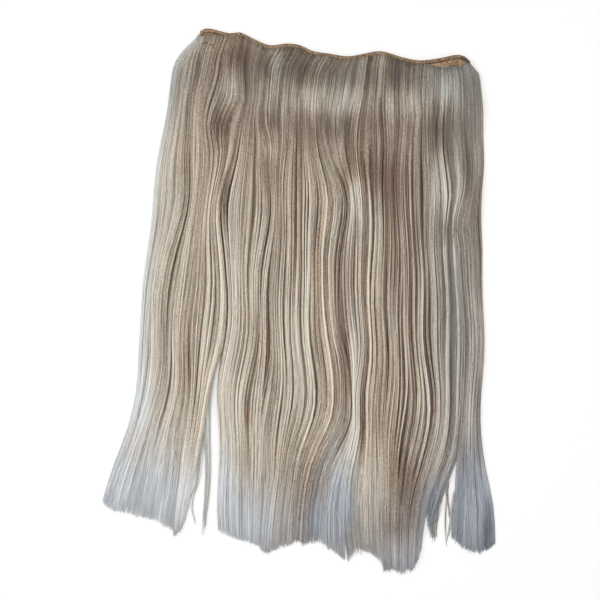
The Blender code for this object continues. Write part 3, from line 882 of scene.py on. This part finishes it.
def lock_strands(index, rows, strings, each, seed, gathered):
    """The strands of a lock: their points, radii and looks.

    Half way down they gather into strings, which loosen again towards the tips.
    """
    random = np.random.default_rng(seed)
    lock = LOCKS[index]
    count = strings * each

    # The string and the small string of each strand, its place in them and how deep it lies
    string = np.repeat(np.arange(strings), each)
    small = string * SMALL_STRINGS + np.tile(np.arange(each) % SMALL_STRINGS, strings)
    small_place = (np.arange(each) % SMALL_STRINGS + 0.5) / SMALL_STRINGS * 2 - 1
    place = np.tile(small_place, strings) + random.uniform(-0.30, 0.30, count)
    depth = random.uniform(0, 1, count) ** 1.6

    # How the strings and small strings differ in tone, greyness, height and width
    string_tone = random.normal(0, STRING_TONES, strings)[string]
    small_tone = random.normal(0, SMALL_TONES, strings * SMALL_STRINGS)
    # Painted highlights: a few small strings are made lighter than the rest
    small_tone += PAINTED_HIGHLIGHT * (random.uniform(0, 1, strings * SMALL_STRINGS) < HIGHLIGHT_SHARE)
    small_tone = small_tone[small]
    string_cool = random.uniform(0, STRING_GREYNESS, strings)[string]
    string_depth = random.uniform(0.25, 1.45, strings)[string][:, None]
    widths = random.uniform(0.40, 1.60, strings)
    borders = np.concatenate(([0], np.cumsum(widths))) / widths.sum()
    string_middle = ((borders[1:] + borders[:-1]) / 2)[string]
    string_half = (np.diff(borders) / 2)[string]

    # Where each strand starts and ends
    ragged = RAGGED.get(index, 0.0)
    length = 1.0 + random.normal(0, 0.002, strings)[string] + random.normal(0, 0.003, count)
    length -= ragged * random.uniform(0, 1, strings)[string] * random.uniform(0.4, 1, count)
    early = (random.uniform(0, 1, count) < EARLY_SHARE) & (depth > 0.35)
    length -= early * random.uniform(0.0, EARLY_BY, count)
    begin = random.uniform(-0.0012, 0.0012, count)
    bare_here = mix(LINES[index].bare, LINES[index + 1].bare, string_middle)
    over = (random.uniform(0, 1, count) < OVER_FOLD_SHARE) * random.uniform(0, 1, count)
    begin -= OVER_FOLD * bare_here * over
    begin = begin[:, None]
    along = begin + HAIR_STATIONS[None, :] * (length[:, None] - begin)
    part = HAIR_STATIONS[None, :]

    # How far it is gathered at each station, and how it wanders across the lock
    gather = soft_step(0.11, 0.34, along) * (1 - soft_step(0.70, 0.86, along)) * gathered
    comes_and_goes = slow_noise(random, (strings, len(HAIR_STATIONS)), 2.2 * part, 0.22)[string]
    depth_here = np.clip(string_depth + comes_and_goes, 0.05, 1.7)
    fanned = soft_step(0.80, 0.92, along)
    string_walk = slow_noise(random, (strings, len(HAIR_STATIONS)), part,
                             0.15 / strings)[string]
    small_walk = slow_noise(random, (strings * SMALL_STRINGS, len(HAIR_STATIONS)), part,
                            0.07 / strings)[small]
    own_walk = slow_noise(random, along.shape, part, 0.05 / strings)
    local = place[:, None] * string_half[:, None] * (1.10 - 0.26 * gather + 0.40 * fanned)
    settled = soft_step(0.02, 0.28, along) * (1 - 0.75 * fanned)
    across = (string_middle[:, None] + local
              + (string_walk + small_walk + own_walk) * settled)
    across = np.where(across < 0, across * 0.3, across)
    across = np.where(across > 1, 1 + (across - 1) * 0.3, across)

    # Its places and its radii
    x, y = lock_place(index, across, along)
    x = mix(x, swung(x, y), soft_step(0.02, 0.14, along) * (1 - 0.6 * fanned))
    top = hair_top(index, across, along, x, y, rows)
    roundness = np.sqrt(np.clip(1 - (place ** 2)[:, None], 0, 1))
    round_drop = STRING_HEIGHT * gather * depth_here * (1 - roundness)
    layer = (depth * LAYER_DEPTH)[:, None] * (0.4 + 0.6 * soft_step(0.0, 0.1, along))
    z = top - round_drop - layer + slow_noise(random, along.shape, part, 0.00010)
    radii = STRAND_RADIUS * random.uniform(0.75, 1.2, count)[:, None] * (
        1 - 0.30 * soft_step(0.88, 1.0, part) - 0.50 * (1 - soft_step(0.0, 0.02, part)))
    z = np.maximum(z, radii + 0.00005)

    # Its tone and greyness: the lock's, its strings' and its own, and the painted light and shade
    # of the patches and grooves
    shift_x = random.normal(0, PATCH_JITTER[0], strings * SMALL_STRINGS)[small][:, None]
    shift_y = random.normal(0, PATCH_JITTER[1], strings * SMALL_STRINGS)[small][:, None]
    patch_tone, patch_cool = patched(x + shift_x, y + shift_y)
    left_edge, _ = lock_place(index, np.zeros_like(along), along)
    right_edge, _ = lock_place(index, np.ones_like(along), along)
    left_edge, right_edge = swung(left_edge, y), swung(right_edge, y)
    groove_shade = (GROOVE_SHADES[index] * np.exp(-((x - left_edge) / GROOVE_WIDTH) ** 2)
                 + GROOVE_SHADES[index + 1] * np.exp(-((x - right_edge) / GROOVE_WIDTH) ** 2))
    groove_shade = groove_shade * soft_step(0.05, 0.15, along) * (1 - soft_step(0.70, 0.92, along))
    shared_tone = (string_tone + small_tone)[:, None]
    own_tone = random.normal(0, STRAND_TONES, count)[:, None]
    tone = lock.tone + shared_tone * (0.28 + 0.98 * gather - 0.20 * fanned) + patch_tone
    tone = tone + own_tone * (0.80 + 0.20 * gather - 0.62 * fanned) - groove_shade
    # Painted light and shade: where strings gather, strands on a string's crest are lighter and
    # those at its sides darker
    tone = tone + gather * depth_here * (0.51 * roundness - 0.32)
    # Painted shade: covered strands of the under row are darker where the strings gather
    if rows == 1 and index not in UNDER_STRANDS:
        tone = tone - 0.25 * gather
    # Painted shade: the deeper a strand lies in its string, the darker it is
    tone = tone - 0.18 * depth[:, None] * (0.4 + 0.6 * gather - 0.2 * fanned)
    # Painted shade: the hair is darker near its roots, just below the band
    tone = tone - 0.10 * (1 - soft_step(0.07, 0.20, along))
    cool = (lock.cool + string_cool)[:, None] + patch_cool + 0.30 * soft_step(0.80, 0.97, along)
    # Painted shade colour: where strings gather, strands at a string's sides and in the under row
    # are made warmer brown
    cool = cool - gather * (0.45 * (1 - roundness) + (0.3 if rows == 1 else 0.0))
    if index == 0:
        cool = cool + LEFT_EDGE_GREY * np.exp(-np.abs(x - left_edge) / LEFT_EDGE_WIDTH)
    looks = np.stack((np.clip(tone, 0, 1), along, np.clip(cool, 0, 1)), axis=2)
    return np.stack((x, y, z), axis=2), radii, looks


# The hair's fine streaks and its grain, as many to a metre along each axis. The grain is weaker
# where the hair is greyed. TONE_OFFSET takes off about what the streaks add on average.
STREAKS = (1100.0, 40.0, 1100.0)
STREAK_STRENGTH = 0.40
GRAIN = 620.0
GRAIN_STRENGTH = 0.85
GRAIN_LESS_WHERE_GREY = -0.55
TONE_OFFSET = 0.179

# The shares along a strand between which grey hair turns from its upper grey to that of its tips
NEAR_TIPS = (0.55, 0.88)

# The hair's colours from dark tones to light ones: warm and fair, grey above and grey at the tips
HAIR_COLOURS = (
    ((0.08, "#69442a"), (0.33, "#a08669"), (0.56, "#d1c1a9"), (0.88, "#f6eee0")),
    ((0.05, "#5d6160"), (0.30, "#8e9695"), (0.55, "#c0c9cc"), (0.90, "#eef4f6")),
    ((0.05, "#62666b"), (0.30, "#9499a4"), (0.55, "#c2c7d0"), (0.90, "#edf1f4")),
)

# Satin fair hair, which gives soft highlights where strands lie level, fine streaks along them
# and a mix of warm and ashen strings
satin_hair, output = new_material("satin_fair_hair")
# The tone and greyness read from strand_looks hold painted shade and painted highlights as well as
# the hair's own tones
looks = add_node(satin_hair, "ShaderNodeAttribute", attribute_name="strand_looks")
channels = add_node(satin_hair, "ShaderNodeSeparateColor", {"Color": looks.outputs["Color"]})
place = add_node(satin_hair, "ShaderNodeTexCoord").outputs["Object"]
stretched = add_node(satin_hair, "ShaderNodeMapping", {
    "Vector": place, "Scale": STREAKS,
})
streaks = add_node(satin_hair, "ShaderNodeTexNoise", {
    "Vector": stretched.outputs["Vector"], "Scale": 1.0, "Detail": 5.0, "Roughness": 0.65,
})
varied = add_node(satin_hair, "ShaderNodeMath", {
    0: streaks.outputs["Fac"], 1: STREAK_STRENGTH, 2: channels.outputs["Red"],
}, operation="MULTIPLY_ADD")
grain = add_node(satin_hair, "ShaderNodeTexNoise", {
    "Vector": place, "Scale": GRAIN, "Detail": 3.0, "Roughness": 0.7,
})
either_way = add_node(satin_hair, "ShaderNodeMath", {0: grain.outputs["Fac"], 1: 0.5},
                      operation="SUBTRACT")
roughly = add_node(satin_hair, "ShaderNodeMath", {
    0: channels.outputs["Blue"], 1: GRAIN_LESS_WHERE_GREY, 2: GRAIN_STRENGTH,
}, operation="MULTIPLY_ADD")
grained = add_node(satin_hair, "ShaderNodeMath", {
    0: either_way.outputs[0], 1: roughly.outputs[0], 2: varied.outputs[0],
}, operation="MULTIPLY_ADD")
level = add_node(satin_hair, "ShaderNodeMath", {0: grained.outputs[0], 1: TONE_OFFSET},
                 operation="SUBTRACT")
warm, upper_grey, tip_grey = (
    add_ramp(satin_hair, level.outputs[0], stops) for stops in HAIR_COLOURS)
near_tips = add_node(satin_hair, "ShaderNodeMapRange", {
    "Value": channels.outputs["Green"], "From Min": NEAR_TIPS[0], "From Max": NEAR_TIPS[1],
})
grey = add_node(satin_hair, "ShaderNodeMix", {
    0: near_tips.outputs[0], 6: upper_grey, 7: tip_grey,
}, data_type="RGBA")
greyed = add_node(satin_hair, "ShaderNodeMix", {
    0: channels.outputs["Blue"], 6: warm, 7: grey.outputs[2],
}, data_type="RGBA")
fibre = add_node(satin_hair, "ShaderNodeBsdfPrincipled", {
    "Base Color": greyed.outputs[2], "Roughness": 0.36, "IOR": 1.55, "Specular IOR Level": 0.7,
})
satin_hair.node_tree.links.new(fibre.outputs[0], output.inputs["Surface"])


def hair_piece(name, locks, node):
    """Join the strands of some locks into one piece that stands for a row of hair."""
    sets = [lock_strands(*lock) for lock in locks]
    points, radii, looks = (np.concatenate(arrays) for arrays in zip(*sets))
    piece = show(name, tubes(name, points, radii, HAIR_SIDES, looks), satin_hair)
    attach(piece, "root")
    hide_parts(node)


def strings_in(index):
    """How many strings a lock has, from its width half way down."""
    x, _ = lock_place(index, np.array((0.0, 1.0)), np.array((0.45, 0.45)))
    return max(2, round((x[1] - x[0]) / STRING_WIDTH))


for side, locks in (("left", range(0, 4)), ("middle", range(4, 10)), ("right", range(10, 14))):
    hair_piece(f"under_row_{side}", [
        (i, 1, strings_in(i), UNDER_STRANDS.get(i, COVERED_STRANDS), 100 + i,
         UNDER_GATHERED.get(i, OTHERS_UNDER_GATHERED))
        for i in locks
    ], "under_row")


# The top row. The upper row of the same hair lies on the under row, from the groove at the left
# to the folded corner at the right. It is fuller, and gathers into strings 4 to 5 mm wide.
for side, locks in (
        ("left", (1, 2, 3)), ("inner_left", (4, 5)), ("middle", (6, 7, 8)),
        ("inner_right", (9, 10)), ("right", (11, 12))):
    hair_piece(f"top_row_{side}", [
        (i, 2, strings_in(i), TOP_STRANDS, 200 + i, TOP_GATHERED.get(i, OTHERS_TOP_GATHERED))
        for i in locks
    ], "top_row")


# The stray strands. Thin wisps of the same hair hang loose in the gap at the left and in the one
# at the right, and one lies over the tips at the left.
# width: how far apart a wisp's strands start, in metres
# tone, cool: as for the locks
# path: shares across and down, from where the wisp leaves a lock to its tips
WISP_STATIONS = 14
WISP_HEIGHTS = (0.0022, 0.0006)
WISP_RADII = (0.00024, 0.00012)
Wisp = namedtuple("Wisp", "strands width tone cool path")
WISPS = (
    Wisp(80, 0.0070, 0.64, 0.68, (
        (-0.450, 0.600), (-0.466, 0.646), (-0.475, 0.690), (-0.474, 0.745), (-0.470, 0.795),
        (-0.474, 0.845), (-0.482, 0.890), (-0.488, 0.935))),
    Wisp(5, 0.0022, 0.55, 0.70, (
        (-0.489, 0.740), (-0.504, 0.820), (-0.530, 0.875), (-0.519, 0.914))),
    Wisp(4, 0.0016, 0.50, 0.70, (
        (-0.500, 0.760), (-0.515, 0.830), (-0.541, 0.868), (-0.552, 0.902))),
    Wisp(6, 0.0014, 0.35, 0.50, (
        (0.425, 0.740), (0.422, 0.830), (0.411, 0.905), (0.415, 0.956))),
    Wisp(8, 0.0024, 0.40, 0.50, (
        (0.400, 0.740), (0.395, 0.820), (0.370, 0.890), (0.359, 0.950))),
    Wisp(9, 0.0030, 0.36, 0.70, (
        (0.444, 0.850), (0.437, 0.885), (0.426, 0.920), (0.411, 0.955))),
    Wisp(8, 0.0022, 0.34, 0.60, (
        (0.409, 0.790), (0.413, 0.845), (0.422, 0.875), (0.430, 0.905))),
    Wisp(28, 0.0090, 0.36, 0.60, (
        (0.385, 0.850), (0.374, 0.890), (0.367, 0.925), (0.372, 0.950))),
    Wisp(2, 0.0010, 0.55, 0.30, (
        (-0.700, 0.780), (-0.722, 0.850), (-0.715, 0.910))),
)
wisp_part = np.linspace(0.0, 1.0, WISP_STATIONS)
random = np.random.default_rng(11)
wisp_points, wisp_radii, wisp_looks = [], [], []
for wisp in WISPS:
    shares = np.linspace(0, 1, len(wisp.path))
    across, down = (np.column_stack((shares, way)) for way in zip(*wisp.path))
    for _ in range(wisp.strands):
        reach = wisp_part * random.uniform(0.72, 1.0)
        aside = random.uniform(-0.5, 0.5) * wisp.width * (1 - 0.5 * reach)
        sway = random.normal(0, 0.0007) * np.sin(reach * random.uniform(3, 8))
        x = BAND_MIDDLE + through(across, reach) * BAND_LENGTH
        y = BAND_HEIGHT - through(down, reach) * HAIR_DROP
        z = mix(*WISP_HEIGHTS, soft_step(0, 0.4, reach)) + random.uniform(0, 0.0006)
        wisp_points.append(np.stack((x + aside + sway, y, z), axis=1))
        wisp_radii.append(mix(*WISP_RADII, reach))
        tone = wisp.tone + random.normal(0, 0.10)
        wisp_looks.append(np.stack(
            (np.full_like(x, tone), reach, np.full_like(x, wisp.cool)), axis=1))
strays = show("stray_strands", tubes(
    "stray_strands", np.array(wisp_points), np.array(wisp_radii), HAIR_SIDES,
    np.clip(wisp_looks, 0, 1)), satin_hair)
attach(strays, "root")
